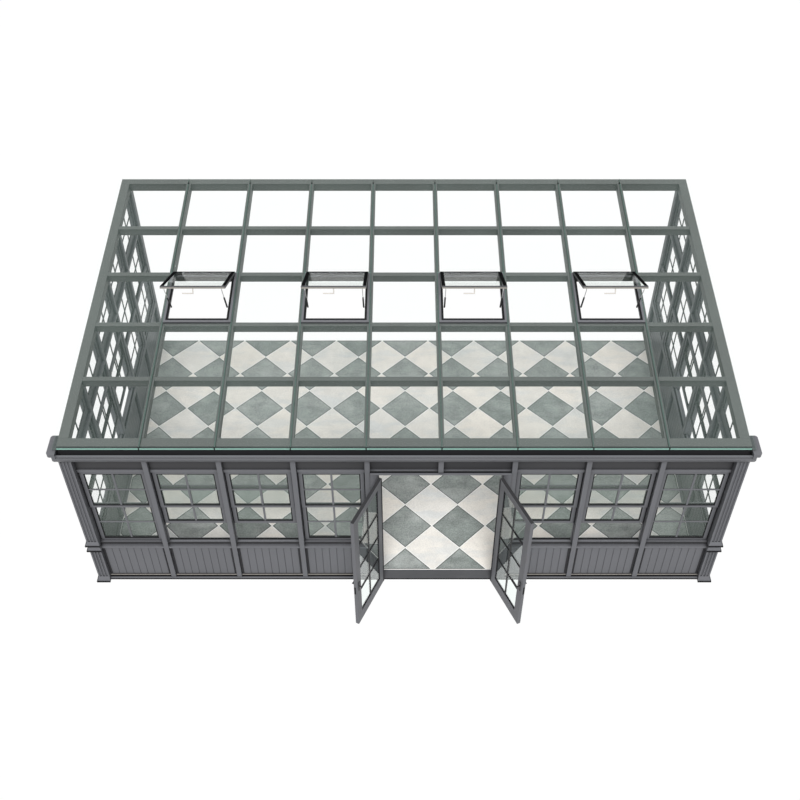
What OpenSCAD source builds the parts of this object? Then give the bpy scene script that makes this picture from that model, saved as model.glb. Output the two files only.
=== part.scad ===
// Lean-to glass sunroom: aluminium frame, hung sash windows, double door and four roof vents.
// Millimetres. The front faces -Y, +X is to the right and +Z is up.
// The origin is at ground level, in the middle of the footprint.

/* [Overall] */
// Clear width of each bay of the front wall
bay_clear = 780; // [700:5:860]
// Depth from the face of the front wall to the house wall
room_d = 4570; // [4300:10:4900]
// Height of the rafter tops at the face of the front wall
eave_h = 2600; // [2300:5:2900]
// Rise of the roof from the front wall to the house wall
roof_rise = 300; // [150:5:450]

/* [Walls] */
// Thickness of the walls
wall_t = 115; // [105:1:140]
// Projection of the corner posts beyond the walls
post_proud = 25; // [10:1:40]
// Width of the front mullions
mull_w = 60; // [45:1:80]
// Height of the eave beam on the front wall
eave_beam_h = 200; // [180:5:260]
// Height of the panels between the eave beam and the window heads
fascia_h = 267; // [200:1:300]
// Height of the window heads
head_h = 43; // [30:1:60]
// Setback of the window heads behind the face of the wall
head_set = 40; // [25:1:55]
// Height of the base rails and the threshold
base_h = 35; // [25:1:60]
// Projection of the base rails beyond the walls
base_proud = 14; // [6:1:34]
// Height of the toe recess under the base rails
base_toe_h = 18; // [10:1:22]
// Depth of the toe recess
base_toe_set = 14; // [6:1:30]
// Top of the window sills
sill_z = 738; // [680:2:800]
// Height of the sill's upstand over its ledge
sill_h = 48; // [30:1:60]
// Setback of the upstand behind the face of the wall
sill_set = 52; // [40:1:58]
// Thickness of the ledge
ledge_h = 30; // [18:1:40]
// Setback of the ledge's nose behind the face of the wall
ledge_set = 5; // [0:1:20]

/* [Kick panels] */
// Height of the bottom rail of a kick panel
kick_rail_h = 22; // [15:1:40]
// Setback of the bottom rail behind the face of the wall
kick_rail_set = 28; // [15:1:36]
// Setback of the panel behind the face of the wall
kick_panel_set = 45; // [40:1:80]
// Thickness of the panel
kick_panel_t = 18; // [10:1:25]

/* [Windows] */
// Setback of the upper sashes behind the face of the wall
sash_set = 60; // [45:1:62]
// Thickness of a sash
sash_t = 20; // [16:1:25]
// Running gap between upper and lower sashes
sash_gap = 2; // [0.5:0.5:3]
// Width of the sash stiles
stile_w = 56; // [40:1:70]
// Height of the top rail of an upper sash
top_rail_h = 50; // [35:1:70]
// Height of the meeting rails
meeting_rail_h = 48; // [30:1:60]
// Height of the bottom rail of a lower sash
bottom_rail_h = 50; // [40:1:110]
// Height of the meeting rails over the middle of the windows
meeting_up = 22; // [0:1:60]
// How far the open lower sashes are raised
sash_raise = 337; // [100:1:360]
// Thickness of the window glass
pane_t = 12; // [6:1:15]

// Height of the bottom rail of a side transom
transom_foot_h = 125; // [60:1:150]
// Height of the top rail of a side transom
transom_top_h = 70; // [40:1:90]

/* [Door] */
// Width of the door jambs
jamb_w = 85; // [70:1:130]
// Projection of jambs and leaves beyond the wall
door_proud = 12; // [6:1:20]
// Depth of the stop that the leaves close against
stop_w = 15; // [10:1:25]
// Height of the door head
door_head_h = 28; // [20:1:60]
// Thickness of a leaf
leaf_t = 45; // [35:1:48]
// Gap between a leaf and its jamb
leaf_gap = 5; // [5:0.5:8]
// Gap between the two closed leaves
meeting_gap = 8; // [8:0.5:12]
// Gap over and under a leaf
leaf_end_gap = 10; // [6:1:14]
// Width of the leaf stiles
leaf_stile_w = 104; // [70:1:125]
// Height of the top rail of a leaf
leaf_top_h = 98; // [70:1:120]
// Height of the bottom rail of a leaf
leaf_bottom_h = 168; // [90:1:200]
// How far the leaves stand open
open_deg = 115; // [60:1:120]
// Radius of the hinge knuckles
knuckle_r = 8; // [6:0.5:9]
// Height of one hinge knuckle
knuckle_h = 55; // [40:1:80]
// Height of the lever handles above the ground
handle_z = 820; // [750:5:1150]

/* [Roof] */
// Distance between the purlins, measured level
purlin_pitch = 867; // [820:1:900]
// Width of the purlins and of the side mullions that carry them
purlin_w = 60; // [45:1:80]
// Depth of the purlins
purlin_h = 100; // [70:1:110]
// Width of the rafters
rafter_w = 60; // [45:1:80]
// Depth of the rafters
rafter_h = 110; // [90:1:120]
// Depth of the wall plate, front to back
plate_w = 100; // [80:1:130]
// Height of the wall plate
plate_h = 125; // [118:1:160]
// Thickness of the roof glass
glass_t = 24; // [16:1:30]
// Overhang of the roof glass at the front
glass_front = 48; // [20:1:60]
// Overhang of the roof glass at the sides
glass_side = 40; // [20:1:60]
// Joint between neighbouring sheets of roof glass
glass_joint = 14; // [4:1:18]

/* [Gutter] */
// Projection of the gutter from the eave beam
gutter_w = 115; // [90:1:140]
// Depth of the gutter's underside below the rafter tops
gutter_drop = 190; // [150:1:199]
// Depth of the front lip's top below the rafter tops
lip_drop = 50; // [40:1:80]
// Width of the front lip
lip_w = 28; // [18:1:36]
// Height of the front lip
lip_h = 56; // [45:1:70]
// Wall of the gutter
gutter_t = 8; // [5:0.5:10]
// Width of the end caps
cap_w = 95; // [60:1:110]

/* [Vents] */
// Wall of the vent curbs
curb_w = 55; // [40:1:70]
// Height of the vent curbs above the rafters
curb_h = 34; // [28:1:60]
// Thickness of the vent sashes
vent_t = 30; // [24:1:50]
// Width of the frame of a vent sash
vent_frame_w = 26; // [22:1:60]
// How far the vents stand open
vent_open = 32; // [20:1:45]

/* [Floor] */
// Top of the floor
floor_top = 45; // [40:1:60]
// Distance of the floor's back edge from the house wall
floor_short = 215; // [120:5:250]

/* [Hidden] */
$fn = 48;
// Overrun of every cut past the face that it opens
over = 1;
// Bedding gap under sloping or turned pieces where they seat
bed = 0.3;

// Colours of the painted frame and the glazing
frame_col = [0.36, 0.36, 0.38];
dark_col = [0.2, 0.2, 0.22];
glass_col = [0.72, 0.86, 0.82, 0.35];
stone_col = [0.68, 0.7, 0.68];
metal_col = [0.75, 0.75, 0.75];

// Bays of the front wall, counted from the left, and where the door and the open sashes are
front_bays = 9;
door_bay = floor(front_bays / 2);
door_bays = [door_bay, door_bay + 1];
window_bays = [for (b = [0 : front_bays - 1]) if (b < door_bay || b > door_bay + 1) b];
raised_bays = [for (b = window_bays) if (b > 0 && b != door_bay - 1 && b < front_bays - 1) b];
vent_bays = [for (b = [1 : 2 : front_bays - 1]) b];
// Bays of the side walls, counted from the front
side_bays = 5;
raised_side_bays = [for (j = [1 : side_bays - 3]) j];

// Plan of the walls
post_w = wall_t + post_proud;
bay_pitch = bay_clear + mull_w;
post_in = (front_bays * bay_clear + (front_bays - 1) * mull_w) / 2;
half_w = post_in + post_w;
side_x = half_w - post_proud;
y_front = -room_d / 2;
y_back = room_d / 2;
y_inner = y_front + wall_t;

// Heights that hang from the eave
post_top = eave_h - eave_beam_h;
head_top = post_top - fascia_h;
head_z = head_top - head_h;
meeting_z = (sill_z + head_z) / 2 + meeting_up;
ledge_z = sill_z - sill_h;
// Setback of the lower sashes
lower_set = sash_set + sash_t + sash_gap;

// Corner post: flutes, two flared belts and a flared plinth
flutes = 3;
flute_r = 13;
flute_margin = 32;
belt_h = 74;
belt_foot_h = 16;
belt_proud = 20;
belt_return = 12;
belt_gap = 27;
belt_below = 82;
plinth_h = 90;
plinth_foot_h = 14;
plinth_proud = 24;

// Door
door_x0 = bay_x0(door_bays[0]);
door_x1 = bay_x0(door_bays[1]) + bay_clear;
door_cx = (door_x0 + door_x1) / 2;
leaf_y0 = y_front - door_proud;
leaf_y1 = leaf_y0 + leaf_t;
door_head_z = head_top - door_head_h;
drip_h = 12;
drip_proud = 14;
head_groove_set = 2;
head_groove_w = 31;
head_groove_h = 20;
stop_gap = 7;
leaf_x0 = door_x0 + jamb_w + leaf_gap;
leaf_x1 = door_cx - meeting_gap / 2;
leaf_z0 = base_h + leaf_end_gap;
leaf_z1 = door_head_z - leaf_end_gap;
hinge_plate_t = 3;
hinge_plate_w = 32;
axis_x = door_x0 + jamb_w + leaf_gap / 2;
axis_y = leaf_y0 - hinge_plate_t - knuckle_r;
hinge_web = 4;
hinge_shares = [0.1, 0.5, 0.9];
hinge_clear = 0.4;
rose_w = 30;
rose_h = 170;
rose_t = 6;
neck_r = 8;
neck_l = 38;
lever_l = 118;
lever_r = 8;
leaf_pane_t = 20;

// Roof
roof_slope = roof_rise / room_d;
roof_angle = atan(roof_slope);
purlin_rows = side_bays - 1;
glass_back_gap = 8;

// Gutter and its end caps
gutter_z = eave_h - gutter_drop;
lip_z = eave_h - lip_drop;
lip_y = y_front - gutter_w;
splay_w = 48;
lip_groove_r = 12;
lip_nose_h = 5;
cap_plate_w = 42;
cap_plate_h = 48;
cap_back = 170;
cap_drop = 12;
cap_r = 34;
cap_foot_r = 24;

// Vents
vent_w = bay_pitch - rafter_w;
vent_pane_t = 14;
vent_row = 1;
barrel_r = 9;
rod_r = 4.5;
barrel_share = 0.55;
ball_r = 7;
stud_r = 5;
stud_l = 16;
stay_stand = 15;
stay_foot_share = 0.68;
crank_r = 7;
crank_drop = 60;
crank_l = 130;

// Left edge of a bay of the front wall
function bay_x0(i) = i * bay_pitch - post_in;
// Middle of a mullion or rafter, counted from the left
function mull_x(k) = bay_x0(k + 1) - mull_w / 2;
// Middle of a purlin, counted from the front
function purlin_y(i) = (i - (purlin_rows - 1) / 2) * purlin_pitch;
// Front and back edge of a bay of the side walls
function side_y0(j) = j == 0 ? y_inner : purlin_y(j - 1) + purlin_w / 2;
function side_y1(j) = j == side_bays - 1 ? y_back - plate_w : purlin_y(j) - purlin_w / 2;
// Height of the rafter tops
function roof_z(y) = eave_h + (y - y_front) * roof_slope;
// Raise of the lower sash in a bay
function raise_of(bay, open_bays) = len([for (b = open_bays) if (b == bay) b]) * sash_raise;

// Box between two corners
module span_box(low, high) {
    translate(low)
        cube(high - low);
}

// Extrudes an outline in Y and Z along X
module along_x(x0, x1) {
    translate([x0, 0, 0])
        rotate([90, 0, 90])
            linear_extrude(x1 - x0)
                children();
}

// Outline between two places on the roof, with plumb ends, from one height to another over the rafter tops
module roof_outline(ya, yb, low, high) {
    polygon([
        [ya, roof_z(ya) + low],
        [yb, roof_z(yb) + low],
        [yb, roof_z(yb) + high],
        [ya, roof_z(ya) + high]
    ]);
}

// Puts a wall piece on the front wall: X along the wall, Y inwards from its face
module on_front() {
    translate([0, y_front, 0])
        children();
}

// Puts a wall piece on both side walls: X runs from the back to the front, Y inwards from the face
module on_sides() {
    for (flip = [0, 1])
        mirror([flip, 0, 0])
            translate([-side_x, 0, 0])
                rotate([0, 0, -90])
                    children();
}

// Kick panel between two mullions: the bottom rail and the panel as one profile
module kick_panel(x0, x1) {
    panel_y1 = kick_panel_set + kick_panel_t;
    rail_z = base_h + kick_rail_h;
    along_x(x0, x1)
        polygon([
            [kick_rail_set, base_h],
            [panel_y1, base_h],
            [panel_y1, ledge_z - ledge_h],
            [kick_panel_set, ledge_z - ledge_h],
            [kick_panel_set, rail_z],
            [kick_rail_set, rail_z]
        ]);
}

// Sill between two mullions: a ledge at the foot of an upstand
module sill(x0, x1) {
    along_x(x0, x1)
        polygon([
            [ledge_set, ledge_z - ledge_h],
            [wall_t, ledge_z - ledge_h],
            [wall_t, sill_z],
            [sill_set, sill_z],
            [sill_set, ledge_z],
            [ledge_set, ledge_z]
        ]);
}

// Head rail between two mullions
module head_rail(x0, x1) {
    span_box([x0, head_set, head_z], [x1, wall_t, head_top]);
}

// Ring of stiles and rails, with its four widths left, right, bottom and top
module frame_ring(low, high, side_w, bottom_h, top_h) {
    difference() {
        span_box(low, high);
        span_box(
            [low.x + side_w, low.y - over, low.z + bottom_h],
            [high.x - side_w, high.y + over, high.z - top_h]
        );
    }
}

// Pane bedded in a ring of the same sizes
module frame_pane(low, high, side_w, bottom_h, top_h, thick) {
    mid = (low.y + high.y) / 2;
    span_box(
        [low.x + side_w + bed, mid - thick / 2, low.z + bottom_h + bed],
        [high.x - side_w - bed, mid + thick / 2, high.z - top_h - bed]
    );
}

// Corners of the upper and lower sash of a window
function upper_low(x0) = [x0, sash_set, meeting_z - meeting_rail_h / 2];
function upper_high(x1) = [x1, sash_set + sash_t, head_z];
function lower_low(x0, raise) = [x0, lower_set, sill_z + raise];
function lower_high(x1, raise) = [x1, lower_set + sash_t, meeting_z + meeting_rail_h / 2 + raise];

module upper_sash(x0, x1) {
    frame_ring(upper_low(x0), upper_high(x1), stile_w, meeting_rail_h, top_rail_h);
}

module lower_sash(x0, x1, raise) {
    frame_ring(lower_low(x0, raise), lower_high(x1, raise), stile_w, bottom_rail_h, meeting_rail_h);
}

module window_panes(x0, x1, raise) {
    frame_pane(upper_low(x0), upper_high(x1), stile_w, meeting_rail_h, top_rail_h, pane_t);
    frame_pane(lower_low(x0, raise), lower_high(x1, raise), stile_w, bottom_rail_h, meeting_rail_h, pane_t);
}

module floor_slab() {
    color(stone_col)
        span_box([-post_in, y_inner, 0], [post_in, y_back - floor_short, floor_top]);
}

// Base rail with a toe recess under its nose
module base_rail(x0, x1) {
    toe_y = base_toe_set - base_proud;
    along_x(x0, x1)
        polygon([
            [toe_y, 0],
            [wall_t, 0],
            [wall_t, base_h],
            [-base_proud, base_h],
            [-base_proud, base_toe_h],
            [toe_y, base_toe_h]
        ]);
}

module base_rails() {
    color(frame_col) {
        on_front() {
            base_rail(-post_in, door_x0);
            base_rail(door_x1, post_in);
        }
        on_sides()
            base_rail(plate_w - y_back, -y_inner);
    }
}

module door_threshold() {
    color(frame_col)
        on_front()
            base_rail(door_x0, door_x1);
}

// Moulding round a corner post that flares to its foot, with a return on the inner side before the wall
module post_flare(z0, height, foot_h, proud, inner) {
    y0 = y_front - post_proud;
    z1 = z0 + height;
    difference() {
        intersection() {
            along_x(post_in - inner, half_w + proud)
                polygon([
                    [y_inner, z0],
                    [y_inner, z1],
                    [y0, z1],
                    [y0 - proud, z0 + foot_h],
                    [y0 - proud, z0]
                ]);
            translate([0, y_inner, 0])
                rotate([90, 0, 0])
                    linear_extrude(y_inner - y0 + proud)
                        polygon([
                            [post_in - inner, z0],
                            [post_in - inner, z0 + foot_h],
                            [post_in, z1],
                            [half_w, z1],
                            [half_w + proud, z0 + foot_h],
                            [half_w + proud, z0]
                        ]);
        }
        span_box([post_in - inner - over, y_front, z0 - over], [post_in, y_inner + over, z1 + over]);
    }
}

module corner_post() {
    flute_pitch = (post_w - 2 * flute_margin) / (flutes - 1);
    belt_z = sill_z - belt_below;
    difference() {
        span_box([post_in, y_front - post_proud, 0], [half_w, y_inner, post_top]);
        for (i = [0 : flutes - 1]) {
            step = flute_margin + i * flute_pitch;
            translate([post_in + step, y_front - post_proud, plinth_h])
                cylinder(h = post_top - plinth_h + over, r = flute_r);
            translate([half_w, y_inner - step, plinth_h])
                cylinder(h = post_top - plinth_h + over, r = flute_r);
        }
    }
    post_flare(0, plinth_h, plinth_foot_h, plinth_proud, 0);
    for (z0 = [belt_z, belt_z + belt_h + belt_gap])
        post_flare(z0, belt_h, belt_foot_h, belt_proud, belt_return);
}

module corner_posts() {
    color(frame_col)
        for (flip = [0, 1])
            mirror([flip, 0, 0])
                corner_post();
}

module rear_posts() {
    color(frame_col)
        for (flip = [0, 1])
            mirror([flip, 0, 0])
                span_box([side_x - wall_t, y_back - plate_w, 0], [side_x, y_back, roof_z(y_back) - plate_h]);
}

module front_mullions() {
    color(frame_col)
        on_front()
            for (k = [0 : front_bays - 2]) {
                foot = k == door_bays[0] ? head_top : base_h;
                span_box([mull_x(k) - mull_w / 2, 0, foot], [mull_x(k) + mull_w / 2, wall_t, post_top]);
            }
}

module side_mullions() {
    color(frame_col)
        for (flip = [0, 1])
            mirror([flip, 0, 0])
                for (i = [0 : purlin_rows - 1]) {
                    ya = purlin_y(i) - purlin_w / 2;
                    yb = purlin_y(i) + purlin_w / 2;
                    along_x(side_x - wall_t, side_x)
                        polygon([
                            [ya, base_h],
                            [yb, base_h],
                            [yb, roof_z(yb) - rafter_h - bed],
                            [ya, roof_z(ya) - rafter_h - bed]
                        ]);
                }
}

module kick_panels() {
    color(frame_col) {
        on_front()
            for (i = window_bays)
                kick_panel(bay_x0(i), bay_x0(i) + bay_clear);
        on_sides()
            for (j = [0 : side_bays - 1])
                kick_panel(-side_y1(j), -side_y0(j));
    }
}

module window_sills() {
    color(frame_col) {
        on_front()
            for (i = window_bays)
                sill(bay_x0(i), bay_x0(i) + bay_clear);
        on_sides()
            for (j = [0 : side_bays - 1])
                sill(-side_y1(j), -side_y0(j));
    }
}

module head_rails() {
    color(frame_col) {
        on_front()
            for (i = window_bays)
                head_rail(bay_x0(i), bay_x0(i) + bay_clear);
        on_sides()
            for (j = [0 : side_bays - 1])
                head_rail(-side_y1(j), -side_y0(j));
    }
}

module fascia_panels() {
    color(dark_col)
        on_front()
            for (i = [0 : front_bays - 1]) {
                x0 = bay_x0(i);
                span_box([x0, sash_set, head_top], [x0 + bay_clear, sash_set + sash_t, post_top]);
            }
}

module front_upper_sashes() {
    color(frame_col)
        on_front()
            for (i = window_bays)
                upper_sash(bay_x0(i), bay_x0(i) + bay_clear);
}

module front_lower_sashes() {
    color(frame_col)
        on_front()
            for (i = window_bays)
                lower_sash(bay_x0(i), bay_x0(i) + bay_clear, raise_of(i, raised_bays));
}

module side_upper_sashes() {
    color(frame_col)
        on_sides()
            for (j = [0 : side_bays - 1])
                upper_sash(-side_y1(j), -side_y0(j));
}

module side_lower_sashes() {
    color(frame_col)
        on_sides()
            for (j = [0 : side_bays - 1])
                lower_sash(-side_y1(j), -side_y0(j), raise_of(j, raised_side_bays));
}

module front_window_glass() {
    color(glass_col)
        on_front()
            for (i = window_bays)
                window_panes(bay_x0(i), bay_x0(i) + bay_clear, raise_of(i, raised_bays));
}

module side_window_glass() {
    color(glass_col)
        on_sides()
            for (j = [0 : side_bays - 1])
                window_panes(-side_y1(j), -side_y0(j), raise_of(j, raised_side_bays));
}

// Outline of the transom of a side bay between the head rail and the end rafter, drawn in by three widths
module transom_outline(j, side_w, foot_h, top_h) {
    ya = side_y0(j) + side_w;
    yb = side_y1(j) - side_w;
    drop = rafter_h + top_h + bed;
    polygon([
        [ya, head_top + foot_h],
        [yb, head_top + foot_h],
        [yb, roof_z(yb) - drop],
        [ya, roof_z(ya) - drop]
    ]);
}

module side_transom_frames() {
    x1 = side_x - sash_set;
    color(frame_col)
        for (flip = [0, 1])
            mirror([flip, 0, 0])
                for (j = [0 : side_bays - 1])
                    along_x(x1 - sash_t, x1)
                        difference() {
                            transom_outline(j, 0, 0, 0);
                            transom_outline(j, stile_w, transom_foot_h, transom_top_h);
                        }
}

module side_transom_glass() {
    mid = side_x - sash_set - sash_t / 2;
    color(glass_col)
        for (flip = [0, 1])
            mirror([flip, 0, 0])
                for (j = [0 : side_bays - 1])
                    along_x(mid - pane_t / 2, mid + pane_t / 2)
                        transom_outline(j, stile_w + bed, transom_foot_h + bed, transom_top_h + bed);
}

// Mirrors what is made for the left leaf to the right leaf
module right_side() {
    translate([2 * door_cx, 0, 0])
        mirror([1, 0, 0])
            children();
}

module door_jamb() {
    span_box([door_x0, leaf_y0, base_h], [door_x0 + jamb_w, y_inner, door_head_z]);
}

// Strip on a jamb that a leaf closes against
module door_stop() {
    x0 = door_x0 + jamb_w;
    span_box([x0, leaf_y1 + stop_gap, base_h], [x0 + stop_w, y_inner, door_head_z]);
}

module door_jambs() {
    color(frame_col) {
        door_jamb();
        right_side()
            door_jamb();
    }
}

module door_stops() {
    color(frame_col) {
        door_stop();
        right_side()
            door_stop();
    }
}

// Door head with a drip along its face and a deep groove behind it
module door_head() {
    drip_z = head_top - drip_h;
    groove_y = y_front + head_groove_set;
    groove_z = head_top - head_groove_h;
    color(frame_col)
        along_x(door_x0, door_x1)
            polygon([
                [leaf_y0, door_head_z],
                [y_inner, door_head_z],
                [y_inner, head_top],
                [groove_y + head_groove_w, head_top],
                [groove_y + head_groove_w, groove_z],
                [groove_y, groove_z],
                [groove_y, head_top],
                [leaf_y0 - drip_proud, head_top],
                [leaf_y0 - drip_proud, drip_z],
                [leaf_y0, drip_z]
            ]);
}

// Height of the foot of a hinge
function hinge_z(share) = leaf_z0 + share * (leaf_z1 - leaf_z0) - knuckle_h;

// One half of a hinge: a knuckle on the axis and the plate that is screwed to the face beside it
module hinge_half(z0, plate_x0, plate_x1, web_x0) {
    plate_y1 = leaf_y0 - bed;
    translate([axis_x, axis_y, z0])
        cylinder(h = knuckle_h, r = knuckle_r);
    span_box([plate_x0, plate_y1 - hinge_plate_t, z0], [plate_x1, plate_y1, z0 + knuckle_h]);
    span_box([web_x0, axis_y, z0], [web_x0 + hinge_web, plate_y1, z0 + knuckle_h]);
}

module jamb_hinge_set() {
    x1 = door_x0 + jamb_w;
    for (share = hinge_shares)
        hinge_half(hinge_z(share), x1 - hinge_plate_w, x1, x1 - hinge_web);
}

module leaf_hinge_set() {
    for (share = hinge_shares)
        hinge_half(hinge_z(share) + knuckle_h + hinge_clear, leaf_x0, leaf_x0 + hinge_plate_w, leaf_x0);
}

module jamb_hinges() {
    color(dark_col) {
        jamb_hinge_set();
        right_side()
            jamb_hinge_set();
    }
}

// Turns what is made for the closed left leaf to where the leaf stands open
module swing_open() {
    translate([axis_x, axis_y, 0])
        rotate([0, 0, -open_deg])
            translate([-axis_x, -axis_y, 0])
                children();
}

leaf_low = [leaf_x0, leaf_y0, leaf_z0];
leaf_high = [leaf_x1, leaf_y1, leaf_z1];

module leaf() {
    frame_ring(leaf_low, leaf_high, leaf_stile_w, leaf_bottom_h, leaf_top_h);
}

module leaf_glass() {
    frame_pane(leaf_low, leaf_high, leaf_stile_w, leaf_bottom_h, leaf_top_h, leaf_pane_t);
}

// Lever handle on one face of a leaf: back plate, neck and lever
module lever_handle(face_y, outwards) {
    x = leaf_x1 - leaf_stile_w / 2;
    translate([x, face_y + outwards * bed, handle_z])
        mirror([0, outwards > 0 ? 0 : 1, 0]) {
            translate([-rose_w / 2, 0, -rose_h / 2])
                cube([rose_w, rose_t, rose_h]);
            rotate([-90, 0, 0])
                cylinder(h = neck_l + lever_r, r = neck_r);
            translate([0, neck_l, 0])
                rotate([0, -90, 0])
                    cylinder(h = lever_l, r = lever_r);
        }
}

module leaf_handles() {
    lever_handle(leaf_y0, -1);
    lever_handle(leaf_y1, 1);
}

module left_leaf() {
    color(frame_col)
        swing_open()
            leaf();
}

module left_leaf_glass() {
    color(glass_col)
        swing_open()
            leaf_glass();
}

module left_leaf_handles() {
    color(metal_col)
        swing_open()
            leaf_handles();
}

module left_leaf_hinges() {
    color(dark_col)
        swing_open()
            leaf_hinge_set();
}

module right_leaf() {
    right_side()
        left_leaf();
}

module right_leaf_glass() {
    right_side()
        left_leaf_glass();
}

module right_leaf_handles() {
    right_side()
        left_leaf_handles();
}

module right_leaf_hinges() {
    right_side()
        left_leaf_hinges();
}

module eave_beam() {
    color(frame_col)
        along_x(-side_x, side_x)
            polygon([
                [y_front, post_top],
                [y_inner, post_top],
                [y_inner, roof_z(y_inner)],
                [y_front, roof_z(y_front)]
            ]);
}

// Front of the gutter: a splayed underside and a thick lip with a cove along its face
module gutter() {
    color(frame_col)
        along_x(-side_x, side_x)
            difference() {
                polygon([
                    [lip_y + splay_w, gutter_z],
                    [lip_y + splay_w, gutter_z + gutter_t],
                    [lip_y + lip_w, lip_z],
                    [lip_y, lip_z],
                    [lip_y, lip_z - lip_h]
                ]);
                translate([lip_y, lip_z - lip_nose_h - lip_groove_r])
                    circle(r = lip_groove_r);
            }
}

// Floor of the gutter, between its front and the eave beam
module gutter_pan() {
    color(frame_col)
        span_box([-side_x, lip_y + splay_w, gutter_z], [side_x, y_front, gutter_z + gutter_t]);
}

// Plan of an end cap from the gutter's lip to a back edge, with rounded outer corners
module cap_plan(x1, y1, radius) {
    polygon([
        [side_x, lip_y],
        [x1 - radius, lip_y],
        [x1, lip_y + radius],
        [x1, y1 - radius],
        [x1 - radius, y1],
        [side_x, y1]
    ]);
    translate([x1 - radius, lip_y + radius])
        circle(r = radius);
    translate([x1 - radius, y1 - radius])
        circle(r = radius);
}

// End cap: a rounded plate on the block that follows gutter and eave beam
module gutter_end_cap() {
    block_x = side_x + cap_w - cap_plate_w;
    plate_z = eave_h - cap_drop - cap_plate_h;
    translate([0, 0, plate_z])
        linear_extrude(cap_plate_h)
            cap_plan(side_x + cap_w, y_front + cap_back, cap_r);
    intersection() {
        translate([0, 0, post_top])
            linear_extrude(plate_z - post_top)
                cap_plan(block_x, y_inner, cap_foot_r);
        along_x(side_x, block_x)
            polygon([
                [y_inner, post_top],
                [y_inner, plate_z],
                [lip_y, plate_z],
                [lip_y, lip_z - lip_h],
                [lip_y + splay_w, gutter_z],
                [y_front - post_proud, post_top]
            ]);
    }
}

module gutter_end_caps() {
    color(frame_col)
        for (flip = [0, 1])
            mirror([flip, 0, 0])
                gutter_end_cap();
}

module rafters() {
    color(frame_col)
        for (k = [0 : front_bays - 2])
            along_x(mull_x(k) - rafter_w / 2, mull_x(k) + rafter_w / 2)
                roof_outline(y_inner, y_back - plate_w, -rafter_h, 0);
}

module end_rafters() {
    color(frame_col)
        for (flip = [0, 1])
            mirror([flip, 0, 0])
                along_x(side_x - wall_t, side_x)
                    roof_outline(y_inner, y_back - plate_w, -rafter_h, 0);
}

module purlins() {
    color(frame_col)
        for (i = [0 : purlin_rows - 1])
            for (b = [0 : front_bays - 1]) {
                x0 = b == 0 ? wall_t - side_x : mull_x(b - 1) + rafter_w / 2;
                x1 = b == front_bays - 1 ? side_x - wall_t : mull_x(b) - rafter_w / 2;
                along_x(x0, x1)
                    roof_outline(purlin_y(i) - purlin_w / 2, purlin_y(i) + purlin_w / 2, -purlin_h, 0);
            }
}

module wall_plate() {
    ya = y_back - plate_w;
    z0 = roof_z(y_back) - plate_h;
    color(frame_col)
        along_x(-side_x, side_x)
            polygon([[ya, z0], [y_back, z0], [y_back, roof_z(y_back)], [ya, roof_z(ya)]]);
}

// Edges of the roof glass over a bay
function glass_x0(b) = b == 0 ? -side_x - glass_side : mull_x(b - 1) + glass_joint / 2;
function glass_x1(b) = b == front_bays - 1 ? side_x + glass_side : mull_x(b) - glass_joint / 2;
// Front and back edge of the vents, over the middle of their purlins
vent_y0 = purlin_y(vent_row) + glass_joint / 2;
vent_y1 = purlin_y(vent_row + 1) - glass_joint / 2;

module roof_glass() {
    front_y = y_front - glass_front;
    back_y = y_back - glass_back_gap;
    color(glass_col)
        for (b = [0 : front_bays - 1])
            along_x(glass_x0(b), glass_x1(b))
                if (len([for (v = vent_bays) if (v == b) v]) > 0) {
                    roof_outline(front_y, vent_y0 - glass_joint, bed, glass_t);
                    roof_outline(vent_y1 + glass_joint, back_y, bed, glass_t);
                } else {
                    roof_outline(front_y, back_y, bed, glass_t);
                }
}

// Curb that stands on two rafters and two purlins
module vent_curb(b) {
    difference() {
        along_x(glass_x0(b), glass_x1(b))
            roof_outline(vent_y0, vent_y1, bed, curb_h);
        span_box(
            [glass_x0(b) + curb_w, vent_y0 + curb_w, roof_z(vent_y0) - over],
            [glass_x1(b) - curb_w, vent_y1 - curb_w, roof_z(vent_y1) + curb_h + over]
        );
    }
}

module vent_curbs() {
    color(dark_col)
        for (b = vent_bays)
            vent_curb(b);
}

// Hinge line of the vents over the back of their curbs, and how far their sashes reach to the front
vent_hinge_y = vent_y1 - curb_w / 2;
vent_len = (vent_hinge_y - vent_y0) / cos(roof_angle);

// Turns what is made flat behind a hinge line to the open sash of a vent
module on_vent(b) {
    translate([(glass_x0(b) + glass_x1(b)) / 2, vent_hinge_y, roof_z(vent_hinge_y) + curb_h + bed])
        rotate([roof_angle - vent_open, 0, 0])
            children();
}

vent_low = [-vent_w / 2, -vent_len, 0];
vent_high = [vent_w / 2, 0, vent_t];

module vent_sash() {
    difference() {
        span_box(vent_low, vent_high);
        span_box(
            [vent_low.x + vent_frame_w, vent_low.y + vent_frame_w, -over],
            [vent_high.x - vent_frame_w, vent_high.y - vent_frame_w, vent_t + over]
        );
    }
}

module vent_sashes() {
    color(dark_col)
        for (b = vent_bays)
            on_vent(b)
                vent_sash();
}

module vent_glass() {
    z0 = vent_t - vent_pane_t;
    edge = vent_frame_w + bed;
    color(glass_col)
        for (b = vent_bays)
            on_vent(b)
                span_box(
                    [vent_low.x + edge, vent_low.y + edge, z0],
                    [vent_high.x - edge, vent_high.y - edge, z0 + vent_pane_t]
                );
}

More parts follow.
